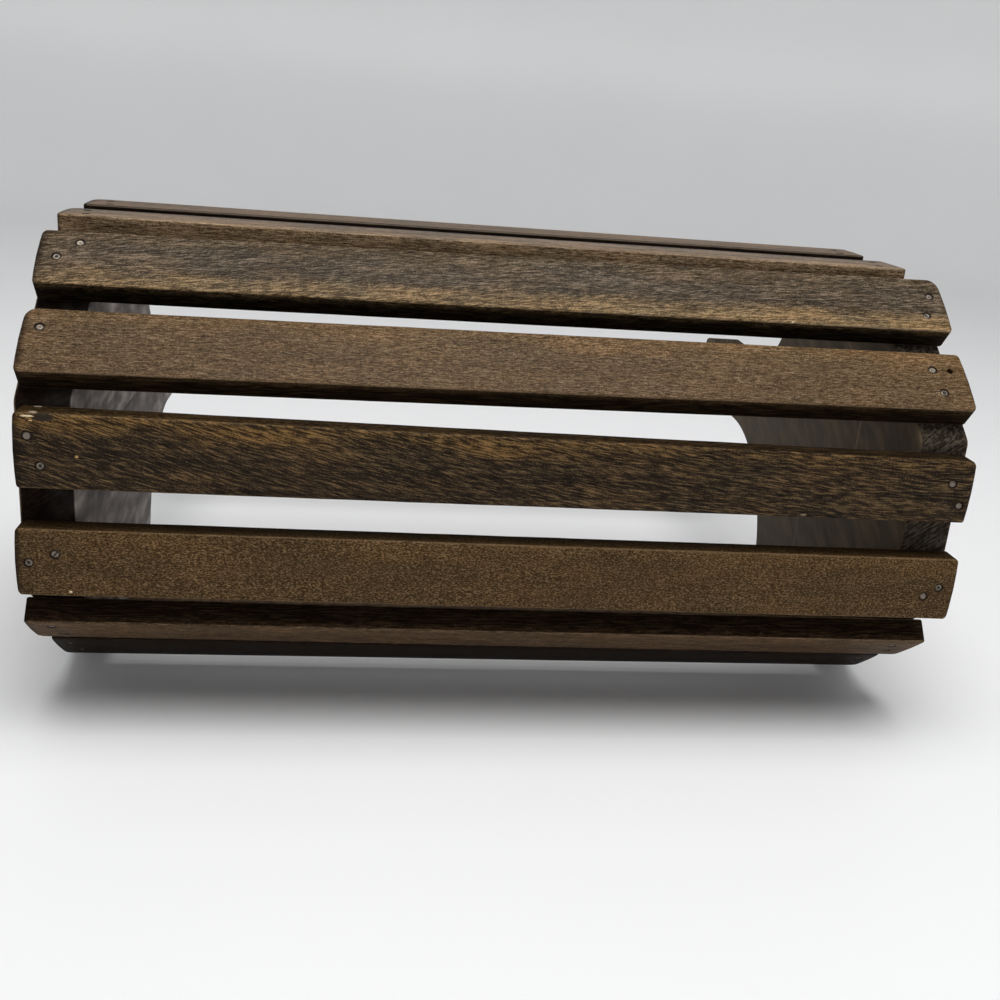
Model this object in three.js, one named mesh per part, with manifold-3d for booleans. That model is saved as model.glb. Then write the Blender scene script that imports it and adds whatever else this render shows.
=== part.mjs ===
// A slatted wooden tool caddy, lying on one of its long sides.
// Two end boards carry ten nailed slats, and a dowel between their posts is the handle.
// Sizes are in millimetres. X runs along the slats, Y points out of the open top and Z is up.
import * as THREE from "three";
import { mergeVertices } from "three/addons/utils/BufferGeometryUtils.js";
import Module from "manifold-3d";

const wasm = await Module();
wasm.setup();

// The timber
const caddyLength = 358.2;
const boardThickness = 20;
const slatThickness = 10;
const seatGap = 0.3;

// The end board, measured across from its middle line and up from its base edge
const baseFlat = 72.43;
const slopeFlat = 74.28;
const slopeAngle = THREE.MathUtils.degToRad(51.8);
const shoulderHeight = 149.9;
const boardHeight = 285.9;
const postWidth = 32;
const postLean = 4;
const postCornerRadius = 4;
const rimCornerRadius = 4;
const boardEdgeBevel = 1.2;

// The slats, each with its edge one of three distances from the end of its flat
const slatWidth = 27.4;
const edgeInset = 1.5;
const slopeInset = 7.5;
const shoulderInset = 19;
const slatCornerRadius = 2.6;
const slatEdgeBevel = 1;

// The handle
const dowelDiameter = 19;
const dowelBelowTop = 25;
const dowelClearance = 0.3;
const dowelEndBevel = 0.8;

// The nails
const nailHeadDiameter = 3;
const nailHeadThickness = 1;
const nailShankDiameter = 1.8;
const nailPointLength = 2.4;
const nailLength = 24;
const handleNailLength = 28;
const nailSink = 0.25;
const nailClearance = 0.3;
const emptyHoleDiameter = 2.7;
const emptyHoleDepth = 5;

// Smoothness of round shapes
const arcSteps = 14;
const cornerSteps = 3;
const dowelSides = 32;
const nailSides = 8;
const mergeTolerance = 1e-4;

// How far a cutter runs out past the face that it enters
const cutOverrun = 2;

// Worked out from the sizes above
const bendHeight = slopeFlat * Math.sin(slopeAngle);
const halfBoard = baseFlat / 2 + slopeFlat * Math.cos(slopeAngle);
const sideFlat = shoulderHeight - bendHeight;
const shoulderRadius = halfBoard - postWidth / 2;
const slatRise = slatThickness + seatGap;
const restHeight = halfBoard + slatRise;
const dowelHeight = boardHeight - dowelBelowTop;
const middleHeight = (boardHeight - slatRise) / 2;

// The five flats of the board's rim, each with its middle and its turn from the base flat
const slopeMiddle = baseFlat / 2 + (slopeFlat / 2) * Math.cos(slopeAngle);
const sideMiddle = bendHeight + sideFlat / 2;
const flats = {
  upperSide: { across: -halfBoard, up: sideMiddle, turn: -Math.PI / 2, length: sideFlat },
  upperSlope: { across: -slopeMiddle, up: bendHeight / 2, turn: -slopeAngle, length: slopeFlat },
  base: { across: 0, up: 0, turn: 0, length: baseFlat },
  lowerSlope: { across: slopeMiddle, up: bendHeight / 2, turn: slopeAngle, length: slopeFlat },
  lowerSide: { across: halfBoard, up: sideMiddle, turn: Math.PI / 2, length: sideFlat },
};

// Each slat lies near one end of its flat, towards -1 or 1 along it. The hand work shows as pairs of
// values, for the left and the right end: shift is added to the inset and trim to the width, and reach
// is how far the slat runs past the board. A nail is given by its distance from the slat's end and
// from the slat's middle line.
const evenNails = [[8.6, -6], [10.6, 6.5]];
const slats = [
  {
    name: "slat_01_side", flat: flats.upperSide, towards: -1, inset: edgeInset,
    shift: [0.1, 0], trim: [-1.4, -1.5], reach: [1.2, 0.4], left: evenNails, right: evenNails,
  },
  {
    name: "slat_02_side", flat: flats.upperSide, towards: 1, inset: shoulderInset,
    shift: [1.4, 0.4], trim: [-1.4, -0.2], reach: [2, 0.5], left: evenNails, right: evenNails,
  },
  {
    name: "slat_03_slope", flat: flats.upperSlope, towards: -1, inset: edgeInset,
    shift: [-0.4, -3.9], trim: [-0.4, 1.4], reach: [0.2, 1.7],
    left: [[14.8, -7.4], [7.3, 0]], right: [[5.9, -4.5], [9.8, 6.2]],
  },
  {
    name: "slat_04_slope", flat: flats.upperSlope, towards: 1, inset: slopeInset,
    shift: [-2.6, 0.1], trim: [1.8, 1.2], reach: [-0.4, 1],
    left: [[6.4, -5.8]], right: [[13.9, -5.4], [12, 5.8]], emptyHole: [6.8, -5.1],
  },
  {
    name: "slat_05_base", flat: flats.base, towards: -1, inset: edgeInset,
    shift: [-0.2, 3.3], trim: [0.5, -1.9], reach: [-1.6, -0.4],
    left: [[5, -5.4], [9.05, 5.4]], right: [[8.7, -3.2], [4.1, 5.6]],
  },
  {
    name: "slat_06_base", flat: flats.base, towards: 1, inset: edgeInset,
    shift: [0.9, -0.7], trim: [-1.6, -1.3], reach: [-0.1, 1],
    left: [[14, -3.3], [4.8, 0.2]], right: [[6.55, -0.7], [12.25, 3.3]],
  },
  {
    name: "slat_07_slope", flat: flats.lowerSlope, towards: -1, inset: slopeInset,
    shift: [0.9, 5.8], trim: [-1.5, -0.2], reach: [2, 2.9],
    left: [[9.2, -5.5], [11.7, 6.6]], right: [[11, -3.7], [9.1, 4.8]],
  },
  {
    name: "slat_08_slope", flat: flats.lowerSlope, towards: 1, inset: slopeInset,
    shift: [0, 0.3], trim: [1.4, -1.9], reach: [-1.6, -4.3],
    left: [[5.9, -5.1], [8, 7]], right: [[6.3, -3], [4, 6.6]],
  },
  {
    name: "slat_09_side", flat: flats.lowerSide, towards: -1, inset: shoulderInset,
    shift: [-0.6, -0.6], trim: [0, 0], reach: [0, 0], left: evenNails, right: evenNails,
  },
  {
    name: "slat_10_side", flat: flats.lowerSide, towards: 1, inset: edgeInset,
    shift: [-1, -1], trim: [0, 0], reach: [0, 0], left: evenNails, right: evenNails,
  },
];

const slatWood = new THREE.MeshStandardMaterial({ color: 0x5f4530, roughness: 0.5, metalness: 0 });
const boardWood = new THREE.MeshStandardMaterial({ color: 0x3b2c20, roughness: 0.6, metalness: 0 });
const handleWood = new THREE.MeshStandardMaterial({ color: 0x6a4c33, roughness: 0.5, metalness: 0 });
const nailSteel = new THREE.MeshStandardMaterial({ color: 0x77736e, roughness: 0.45, metalness: 0.9 });

// A closed geometry as a solid, with its shared corners merged.
function solidOf(geometry) {
  const bare = geometry.clone();
  bare.deleteAttribute("normal");
  bare.deleteAttribute("uv");
  const merged = mergeVertices(bare, mergeTolerance);
  return new wasm.Manifold(
    new wasm.Mesh({
      numProp: 3,
      vertProperties: new Float32Array(merged.attributes.position.array),
      triVerts: new Uint32Array(merged.index.array),
    }),
  );
}

// A solid as a flat-shaded geometry.
function geometryOf(solid) {
  const mesh = solid.getMesh();
  const geometry = new THREE.BufferGeometry();
  geometry.setAttribute("position", new THREE.BufferAttribute(mesh.vertProperties, 3));
  geometry.setIndex(new THREE.BufferAttribute(mesh.triVerts, 1));
  const flat = geometry.toNonIndexed();
  flat.computeVertexNormals();
  return flat;
}

// Cuts the cutters, which are meshes that stand elsewhere in the same scene, out of a mesh.
function cut(mesh, cutters) {
  const intoMesh = mesh.matrixWorld.clone().invert();
  let solid = solidOf(mesh.geometry);
  for (const cutter of cutters) {
    const place = intoMesh.clone().multiply(cutter.matrixWorld);
    solid = solid.subtract(solidOf(cutter.geometry.clone().applyMatrix4(place)));
  }
  mesh.geometry = geometryOf(solid);
}

// A plate from an outline in XY, from z = 0 to its thickness, with its edges bevelled at both faces.
function plate(shape, thickness, bevel, curveSegments) {
  const geometry = new THREE.ExtrudeGeometry(shape, {
    depth: thickness - 2 * bevel,
    bevelEnabled: true,
    bevelThickness: bevel,
    bevelSize: bevel,
    bevelOffset: -bevel,
    bevelSegments: 1,
    curveSegments,
  });
  return geometry.translate(0, 0, bevel);
}

// The end board's outline: flat-bottomed, with sloping lower sides, upright sides and quarter-round
// shoulders that draw in to a narrow post. The post leans sideways by the given distance at its top.
function boardOutline(lean) {
  const halfPost = postWidth / 2;
  const shape = new THREE.Shape();
  const along = rimCornerRadius * Math.tan(slopeAngle / 2);
  const alongX = along * Math.cos(slopeAngle);
  const alongY = along * Math.sin(slopeAngle);
  shape.moveTo(-baseFlat / 2 + along, 0);
  shape.lineTo(baseFlat / 2 - along, 0);
  shape.quadraticCurveTo(baseFlat / 2, 0, baseFlat / 2 + alongX, alongY);
  shape.lineTo(halfBoard, bendHeight);
  shape.lineTo(halfBoard, shoulderHeight);
  const arcHeight = shoulderHeight + shoulderRadius;
  shape.absarc(halfBoard, arcHeight, shoulderRadius, -Math.PI / 2, -Math.PI, true);
  shape.lineTo(halfPost + lean, boardHeight - postCornerRadius);
  shape.absarc(halfPost + lean - postCornerRadius, boardHeight - postCornerRadius, postCornerRadius,
    0, Math.PI / 2, false);
  shape.absarc(-halfPost + lean + postCornerRadius, boardHeight - postCornerRadius, postCornerRadius,
    Math.PI / 2, Math.PI, false);
  shape.lineTo(-halfPost, arcHeight);
  shape.absarc(-halfBoard, arcHeight, shoulderRadius, 0, -Math.PI / 2, true);
  shape.lineTo(-halfBoard, bendHeight);
  shape.lineTo(-baseFlat / 2 - alongX, alongY);
  shape.quadraticCurveTo(-baseFlat / 2, 0, -baseFlat / 2 + along, 0);
  shape.closePath();
  return shape;
}

// A board's place along the caddy is given by its inner face and the way out from there.
function endBoard(name, start, lean) {
  const geometry = plate(boardOutline(lean), boardThickness, boardEdgeBevel, arcSteps);
  const board = new THREE.Mesh(geometry, boardWood);
  board.name = name;
  board.position.z = start;
  return board;
}

// A slat's outline about the origin: its length along X, a width for each end and rounded corners.
function slatOutline(length, [widthLeft, widthRight]) {
  const x = length / 2 - slatCornerRadius;
  const yLeft = widthLeft / 2 - slatCornerRadius;
  const yRight = widthRight / 2 - slatCornerRadius;
  const shape = new THREE.Shape();
  shape.absarc(x, -yRight, slatCornerRadius, -Math.PI / 2, 0, false);
  shape.absarc(x, yRight, slatCornerRadius, 0, Math.PI / 2, false);
  shape.absarc(-x, yLeft, slatCornerRadius, Math.PI / 2, Math.PI, false);
  shape.absarc(-x, -yLeft, slatCornerRadius, Math.PI, 1.5 * Math.PI, false);
  shape.closePath();
  return shape;
}

// A nail along Y: its head's face at y = 0 and its shank towards +Y. Grown by a clearance, and with
// its head carried out past the wood, the same profile makes the hole that the nail sits in.
function nailGeometry(length, clearance) {
  const head = nailHeadDiameter / 2 + clearance;
  const shank = nailShankDiameter / 2 + clearance;
  const face = clearance > 0 ? -cutOverrun : 0;
  const tip = length + clearance;
  const profile = [
    new THREE.Vector2(0, face),
    new THREE.Vector2(head, face),
    new THREE.Vector2(head, nailHeadThickness + clearance),
    new THREE.Vector2(shank, nailHeadThickness + clearance),
    new THREE.Vector2(shank, length - nailPointLength),
    new THREE.Vector2(0, tip),
  ];
  return new THREE.LatheGeometry(profile, nailSides);
}

const nailHoles = [];

// Drives a nail into the parent group: its head just under y = at, and its shank towards +Y.
function drive(parent, name, length, x, at, z) {
  const nail = new THREE.Mesh(nailGeometry(length, 0), nailSteel);
  nail.name = name;
  nail.position.set(x, at + nailSink, z);
  parent.add(nail);
  const hole = new THREE.Mesh(nailGeometry(length, nailClearance));
  hole.position.copy(nail.position);
  hole.visible = false;
  parent.add(hole);
  nailHoles.push(hole);
  return nail;
}

// Everything stands in the board's own frame: X across, Y up from the base edge, Z along the caddy.
// The frame is then turned and moved so that the caddy lies on its lower side, centred on the origin.
const caddy = new THREE.Group();
const frame = new THREE.Group();
const longestLeft = Math.max(...slats.map((slat) => slat.reach[0]));
const longestRight = Math.max(...slats.map((slat) => slat.reach[1]));
frame.rotation.y = Math.PI / 2;
frame.position.set((longestLeft - longestRight) / 2, -middleHeight, restHeight);
caddy.add(frame);

const boards = [
  endBoard("end_board_left", -caddyLength / 2, postLean),
  endBoard("end_board_right", caddyLength / 2 - boardThickness, -postLean),
];
frame.add(...boards);

// Slats: in a flat's frame X runs along the rim, Y points into the caddy and Z runs along it.
const slatAxes = new THREE.Matrix4().makeBasis(
  new THREE.Vector3(0, 0, 1),
  new THREE.Vector3(1, 0, 0),
  new THREE.Vector3(0, 1, 0),
);
const slatMeshes = [];
for (const slat of slats) {
  const widths = slat.trim.map((trim) => slatWidth + trim);
  const [acrossLeft, acrossRight] = slat.shift.map(
    (shift, end) => slat.towards * (slat.flat.length / 2 - slat.inset - shift - widths[end] / 2),
  );
  const length = caddyLength + slat.reach[0] + slat.reach[1];
  const group = new THREE.Group();
  group.position.set(slat.flat.across, slat.flat.up, 0);
  group.rotation.z = slat.flat.turn;
  frame.add(group);
  const place = new THREE.Group();
  place.position.set((acrossLeft + acrossRight) / 2, 0, (slat.reach[1] - slat.reach[0]) / 2);
  place.rotation.y = Math.atan2(acrossRight - acrossLeft, caddyLength);
  group.add(place);

  const geometry = plate(slatOutline(length, widths), slatThickness, slatEdgeBevel, cornerSteps);
  const mesh = new THREE.Mesh(geometry, slatWood);
  mesh.name = slat.name;
  mesh.quaternion.setFromRotationMatrix(slatAxes);
  mesh.position.y = -slatRise;
  place.add(mesh);

  const number = slat.name.slice(5, 7);
  const letters = ["a", "b"];
  slat.left.forEach(([fromEnd, off], i) => {
    const name = `nail_${number}_left_${letters[i]}`;
    drive(place, name, nailLength, off, -slatRise, fromEnd - length / 2);
  });
  slat.right.forEach(([fromEnd, off], i) => {
    const name = `nail_${number}_right_${letters[i]}`;
    drive(place, name, nailLength, off, -slatRise, length / 2 - fromEnd);
  });
  const cutters = place.children.filter((child) => nailHoles.includes(child));
  if (slat.emptyHole) {
    const radius = emptyHoleDiameter / 2;
    const hole = new THREE.Mesh(new THREE.CylinderGeometry(radius, radius, 2 * emptyHoleDepth, nailSides));
    hole.position.set(slat.emptyHole[1], -slatRise, length / 2 - slat.emptyHole[0]);
    hole.visible = false;
    place.add(hole);
    cutters.push(hole);
  }
  slatMeshes.push({ mesh, cutters });
}

// The dowel runs through both posts, flush with their outer faces.
const dowelRadius = dowelDiameter / 2;
const dowelEnd = caddyLength / 2;
const dowelProfile = [
  new THREE.Vector2(0, -dowelEnd),
  new THREE.Vector2(dowelRadius - dowelEndBevel, -dowelEnd),
  new THREE.Vector2(dowelRadius, -dowelEnd + dowelEndBevel),
  new THREE.Vector2(dowelRadius, dowelEnd - dowelEndBevel),
  new THREE.Vector2(dowelRadius - dowelEndBevel, dowelEnd),
  new THREE.Vector2(0, dowelEnd),
];
const leanAtDowel = postLean * ((dowelHeight - shoulderHeight - shoulderRadius) /
  (boardHeight - postCornerRadius - shoulderHeight - shoulderRadius));
const dowelPlace = new THREE.Group();
const boardMiddle = (caddyLength - boardThickness) / 2;
dowelPlace.position.y = dowelHeight;
dowelPlace.rotation.y = Math.atan2(-2 * leanAtDowel, 2 * boardMiddle);
frame.add(dowelPlace);
const dowel = new THREE.Mesh(new THREE.LatheGeometry(dowelProfile, dowelSides), handleWood);
dowel.name = "handle_dowel";
dowel.rotation.x = Math.PI / 2;
dowelPlace.add(dowel);
const boreRadius = dowelRadius + dowelClearance;
const bore = new THREE.Mesh(
  new THREE.CylinderGeometry(boreRadius, boreRadius, caddyLength + 2 * cutOverrun, dowelSides),
);
bore.rotation.x = Math.PI / 2;
bore.visible = false;
dowelPlace.add(bore);

// One nail through the top of each post pins the dowel.
const pinHoles = [];
for (const [side, sign] of [["left", -1], ["right", 1]]) {
  const pin = new THREE.Group();
  pin.position.set(-sign * leanAtDowel, boardHeight, sign * boardMiddle);
  pin.rotation.z = Math.PI;
  frame.add(pin);
  drive(pin, `handle_nail_${side}`, handleNailLength, 0, 0, 0);
  pinHoles.push(nailHoles.at(-1));
}

caddy.updateMatrixWorld(true);
for (const { mesh, cutters } of slatMeshes) cut(mesh, cutters);
cut(dowel, pinHoles);
for (const board of boards) {
  const isLeft = board === boards[0];
  const near = nailHoles.filter((hole) => {
    const along = frame.worldToLocal(hole.getWorldPosition(new THREE.Vector3())).z;
    return along < 0 === isLeft;
  });
  cut(board, [...near, bore]);
}
for (const helper of [...nailHoles, bore, ...slatMeshes.flatMap(({ cutters }) => cutters)]) {
  helper.removeFromParent();
}

export default caddy;
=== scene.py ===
"""A slatted wooden tool caddy, dressed: stained and varnished timber, steel nails and a plain pale floor."""

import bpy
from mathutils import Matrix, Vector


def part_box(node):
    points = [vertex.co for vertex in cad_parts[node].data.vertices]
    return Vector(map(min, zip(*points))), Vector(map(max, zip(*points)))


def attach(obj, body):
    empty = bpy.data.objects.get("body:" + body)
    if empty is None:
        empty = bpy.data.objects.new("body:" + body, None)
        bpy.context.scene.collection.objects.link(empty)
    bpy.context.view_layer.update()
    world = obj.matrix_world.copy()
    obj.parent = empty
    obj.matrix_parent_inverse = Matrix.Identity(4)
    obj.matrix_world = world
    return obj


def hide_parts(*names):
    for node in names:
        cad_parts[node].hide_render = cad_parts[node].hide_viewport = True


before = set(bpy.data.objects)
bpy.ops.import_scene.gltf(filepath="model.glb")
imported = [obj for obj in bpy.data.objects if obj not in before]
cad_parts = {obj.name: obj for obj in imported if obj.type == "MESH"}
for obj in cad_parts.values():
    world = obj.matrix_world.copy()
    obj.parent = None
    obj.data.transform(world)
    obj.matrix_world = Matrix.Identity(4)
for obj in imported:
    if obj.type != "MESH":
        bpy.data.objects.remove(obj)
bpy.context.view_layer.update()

import math
import random
from typing import NamedTuple

import bmesh
import bpy
from bpy.props import FloatProperty, FloatVectorProperty, IntProperty, PointerProperty
from mathutils import Matrix, Vector, noise

bl_info = {
    "name": "Slatted Tool Caddy",
    "version": (1, 0, 0),
    "blender": (4, 5, 0),
    "location": "3D View > Sidebar > Caddy",
    "description": "Builds the finish of a slatted wooden tool caddy around its frame",
    "category": "Object",
}

MM = 0.001
RIGHT = Vector((1, 0, 0))
TOP = Vector((0, 1, 0))
UP = Vector((0, 0, 1))

# The camera, in the caddy's own frame
CAMERA_PLACE = Vector((-0.06385, -0.5452, 0.2387))
CAMERA_RIGHT = Vector((0.9902, -0.1165, 0.0774))
CAMERA_UP = Vector((-0.0347, 0.3309, 0.9430))
CAMERA_LENS = 41.3
CAMERA_SENSOR = 36.0
# The soft light overhead looks at the origin
OVERHEAD_PLACE = Vector((0.05, -0.42, 1.6))
OVERHEAD_SIZE = 1.3
SKY_COLOUR = (0.95, 0.97, 1.0, 1.0)
# The floor's rim sweeps up by this radius and stands this high
FLOOR_SWEEP = 0.45
WALL_HEIGHT = 1.1
FLOOR_SIDES = 96
# Steps round the dowel and its bores, and along the dowel
DOWEL_SIDES = 64
DOWEL_STATIONS = 40


class Mark(NamedTuple):
    """A small mark: its place and its half size in millimetres, and its colour."""
    place: tuple
    size: tuple
    colour: tuple


class Figure(NamedTuple):
    """How the wood of one slat looks, with its lengths in millimetres.

    Slants are the rise of its streaks at its left and right end. Grain is the strength of its bands,
    patches, fibres and speckle. Streaks and dashes are given by their strength, length and width.
    Golden is the long edge, 1 upper or -1 lower, along which the stain is worn to gold, and how much
    at the left and right end. Greyed is how much its middle is greyed. Edges are how strongly its
    upper and lower narrow face are darkened, partly stain and partly painted shade, and wear and
    highlight how far its upper and lower arris are lightened, partly by wear and partly as a painted
    highlight. Corners are radii: upper left, upper right, lower right, lower left. Varnish is the gloss
    of its broad faces. Gap shade is how far painted shade, in the edge colour, runs onto them at the
    upper and lower edge. Flecks is how strong its light flecks are, and seed moves its pattern.
    """
    body: tuple
    dark: tuple
    light: tuple
    slant: tuple
    grain: tuple
    streaks: tuple
    dashes: tuple
    flecks: float
    golden: tuple
    edges: tuple
    worn: tuple
    corners: tuple
    seed: float
    greyed: float = 0.0
    varnish: float = 0.12
    border: tuple = (0.0, 0.0)
    marks: tuple = ()


def tone(red, green, blue):
    """A colour given as it looks on screen, from 0 to 255, as linear light."""
    return tuple(
        value / 12.92 if value <= 0.04045 else ((value + 0.055) / 1.055) ** 2.4
        for value in (red / 255, green / 255, blue / 255)
    )


# Near-black of the narrow faces, slat ends and edge bands: partly stain, partly painted shade
EDGE_STAIN_AND_SHADE = tone(9, 5, 3)
BARE_WOOD = tone(214, 196, 160)
KNOT = tone(22, 17, 12)
# Colour of the dark ring round a nail: partly stain, partly painted shade round its recess
NAIL_STAIN_AND_SHADE = tone(18, 13, 9)
# How far the dark ring round a nail, partly stain and partly painted shade, reaches at its full strength and
# at all, in millimetres
NAIL_STAIN_AND_SHADE_REACH = (1.5, 2.4)
# How much the shade rises where the stain is worn to gold
GOLD_LIFT = 0.13
WOOD_GLOSS = {"Specular_IOR_Level": 0.02, "Coat_Roughness": 0.45}
GOLD_TINT = (1.66, 1.5, 1.12)
GREY_TINT = (0.97, 1.0, 1.08)
WARM_TINT = (1.06, 0.99, 0.93)
WALNUT = Figure(
    body=tone(73, 56, 39), dark=tone(23, 13, 5), light=tone(125, 104, 80),
    slant=(0.05, 0.05), grain=(0.23, 0.23, 0.39, 0.78), streaks=(0.55, 9.0, 0.8), dashes=(0.94, 3.4, 0.42),
    flecks=0.1, golden=(-1, 0.0, 0.0), edges=(0.8, 0.97), worn=(0.3, 0.3), corners=(2.6, 2.6, 2.6, 2.6),
    seed=1.0,
)
FIGURES = {
    1: WALNUT._replace(
        body=tone(100, 84, 67), seed=11.0, slant=(0.05, -0.1), corners=(5.0, 2.6, 2.6, 2.6),
        edges=(0.9, 0.95), grain=(0.94, 0.47, 0.39, 0.78), varnish=0.4, border=(1.0, 2.5),
    ),
    2: WALNUT._replace(
        body=tone(99, 83, 66), light=tone(156, 138, 117), seed=12.0, slant=(-0.1, 0.15), flecks=0.3,
        edges=(0.9, 0.36), worn=(0.0, 0.2), corners=(5.0, 2.6, 2.6, 2.6), golden=(-1, 0.4, 0.4),
        grain=(0.78, 0.47, 0.39, 0.78), varnish=0.4, border=(4.0, 0.0),
    ),
    3: WALNUT._replace(
        body=tone(68, 57, 42), dark=tone(17, 9, 4), light=tone(131, 115, 95),
        slant=(0.2, 0.05), grain=(0.31, 0.23, 0.47, 0.78), streaks=(0.78, 9.0, 0.9), dashes=(0.98, 3.4, 0.42),
        golden=(-1, 0.6, 0.9), greyed=1.0, worn=(0.9, 0.5), corners=(2.4, 4.8, 2.0, 1.8), seed=13.0,
        marks=(
            Mark((180.5, 3.6), (2.6, 0.25), KNOT),
            Mark((111.3, -13.4), (0.45, 0.3), BARE_WOOD),
        ),
    ),
    4: WALNUT._replace(
        body=tone(82, 64, 42), dark=tone(32, 19, 5), light=tone(131, 110, 86),
        slant=(-0.02, 0.03), grain=(0.16, 0.23, 0.31, 0.94),
        streaks=(0.16, 7.0, 0.8), dashes=(0.98, 2.2, 0.34),
        golden=(1, 0.1, 0.35), worn=(0.2, 0.3), corners=(4.4, 1.8, 2.4, 2.0), seed=14.0,
        marks=(Mark((170.6, 5.2), (4.5, 0.2), KNOT),),
    ),
    5: WALNUT._replace(
        body=tone(42, 33, 22), dark=tone(10, 5, 4), light=tone(107, 87, 60),
        slant=(-0.36, -0.02), grain=(0.47, 0.35, 0.39, 0.62),
        streaks=(1.17, 9.0, 0.8), dashes=(0.94, 4.5, 0.42),
        flecks=0.3, golden=(1, 1.0, 0.2), edges=(0.75, 0.9), worn=(0.35, 0.3), corners=(2.0, 2.6, 1.2, 1.3),
        seed=15.0,
        marks=(
            Mark((-167.6, 12.4), (4.2, 1.6), tone(46, 38, 29)),
            Mark((-172.6, 12.6), (2.2, 0.35), BARE_WOOD),
            Mark((-170.8, 14.0), (1.5, 0.3), tone(150, 138, 120)),
            Mark((-171.5, 11.0), (0.8, 0.25), tone(190, 160, 110)),
            Mark((-156.6, -1.4), (0.6, 0.5), tone(170, 140, 90)),
            Mark((111.4, -11.8), (1.2, 0.5), tone(120, 104, 84)),
        ),
    ),
    6: WALNUT._replace(
        body=tone(68, 51, 28), dark=tone(26, 15, 3), light=tone(127, 104, 75),
        slant=(-0.1, -0.05), grain=(0.08, 0.2, 0.16, 1.17), streaks=(0.08, 5.0, 0.7), dashes=(0.7, 1.0, 0.36),
        golden=(1, 0.1, 0.1), edges=(0.7, 0.97), worn=(0.35, 0.2), corners=(1.5, 1.5, 2.0, 2.0), seed=16.0,
        marks=(
            Mark((-160.6, -11.1), (0.6, 0.4), BARE_WOOD),
            Mark((111.0, 13.5), (1.6, 0.35), tone(150, 140, 122)),
        ),
    ),
    7: WALNUT._replace(
        seed=17.0, slant=(0.05, 0.1), corners=(1.0, 1.5, 3.0, 3.4), edges=(0.9, 0.97), worn=(0.5, 0.2),
        marks=(
            Mark((172.0, -2.0), (4.0, 0.35), KNOT),
            Mark((171.0, 3.6), (5.0, 0.3), KNOT),
        ),
    ),
    # Slat 8's dark tones are painted shade: it lies in shade near the floor, darker than slat 7 on the same
    # flat
    8: WALNUT._replace(
        body=tone(29, 19, 13), dark=tone(12, 7, 3), light=tone(48, 36, 25), seed=18.0, slant=(0.1, 0.0),
        corners=(2.0, 2.0, 3.4, 2.6),
    ),
    9: WALNUT._replace(seed=19.0, slant=(-0.1, 0.1)),
    10: WALNUT._replace(seed=20.0, slant=(0.12, -0.08)),
}
SLAT_NODES = [
    "slat_01_side", "slat_02_side", "slat_03_slope", "slat_04_slope", "slat_05_base",
    "slat_06_base", "slat_07_slope", "slat_08_slope", "slat_09_side", "slat_10_side",
]
BOARD_NODES = ["end_board_left", "end_board_right"]
HANDLE_NODE = "handle_dowel"
# The one nail hole that stands empty, on the fourth slat, from its right end and its middle line
EMPTY_HOLE_SLAT = 4
EMPTY_HOLE_PLACE = (6.8, 5.1)
EMPTY_HOLE_SIZE = (1.35, 5.0)


def millimetres(name, description, size):
    """A length that the panel shows."""
    return FloatProperty(name=name, description=description, default=size * MM, unit="LENGTH")


def colour_of(name, description, colour):
    """A colour that the panel shows."""
    return FloatVectorProperty(name=name, description=description, subtype="COLOR", default=colour)


class CaddyTimber(bpy.types.PropertyGroup):
    """Sizes and colours of the timber."""
    end_bow: millimetres("End bow", "How far the middle of a slat's end stands out past its corners", 0.6)
    arris: millimetres("Arris", "Rounding along the long edges of the slats", 0.8)
    board_arris: millimetres("Board arris", "Rounding along the edges of the end boards", 1.4)
    unevenness: millimetres("Unevenness", "How far a planed face and its edges wander", 0.18)
    stations: IntProperty(
        name="Stations", description="Places along a slat where its faces may wander", default=44,
    )
    base_flat: millimetres("Base flat", "Width of an end board's base edge", 72.43)
    bend_height: millimetres("Bend height", "Height at which a board's sloping side turns upright", 58.37)
    shoulder_height: millimetres("Shoulder height", "Height at which a board's shoulder curves in", 149.9)
    rim_corner: millimetres("Rim corner", "Radius of the corners between base edge and slopes", 4)
    post_width: millimetres("Post width", "Width of the post that holds the handle", 32)
    post_lean: millimetres("Post lean", "How far the left post's top leans down and the right one's up", 4)
    post_corner: millimetres("Post corner", "Radius of the corners at the top of a post", 4)
    handle_body: colour_of("Handle colour", "Middle tone of the handle", tone(88, 66, 45))
    handle_dark: colour_of("Handle grain", "Dark tone of the handle", tone(30, 21, 14))
    handle_light: colour_of("Handle wear", "Light tone of the handle", tone(136, 108, 78))


class CaddySteel(bpy.types.PropertyGroup):
    """Sizes and colours of the nails."""
    dimple: millimetres("Dimple", "Radius of the dimple in a nail's head", 0.75)
    dimple_depth: millimetres("Dimple depth", "Depth of that dimple", 0.35)
    sides: IntProperty(name="Sides", description="Steps round a nail", default=24)
    colour: colour_of("Steel", "Colour of the bare heads", tone(122, 113, 102))
    grime: colour_of("Grime", "Colour of the dirt in the dimples", tone(38, 32, 27))


class CaddyStage(bpy.types.PropertyGroup):
    """The pale floor and the light."""
    floor_colour: colour_of("Floor", "Colour of the floor and the backdrop", (0.89, 0.89, 0.89))
    floor_radius: FloatProperty(
        name="Floor radius", description="Distance at which the floor starts to rise",
        default=1.6, unit="LENGTH",
    )
    overhead_power: FloatProperty(
        name="Overhead", description="Power of the soft light overhead", default=25.0, unit="POWER",
    )
    sky_strength: FloatProperty(
        name="Surroundings", description="Brightness of the pale surroundings", default=0.26,
    )


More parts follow.
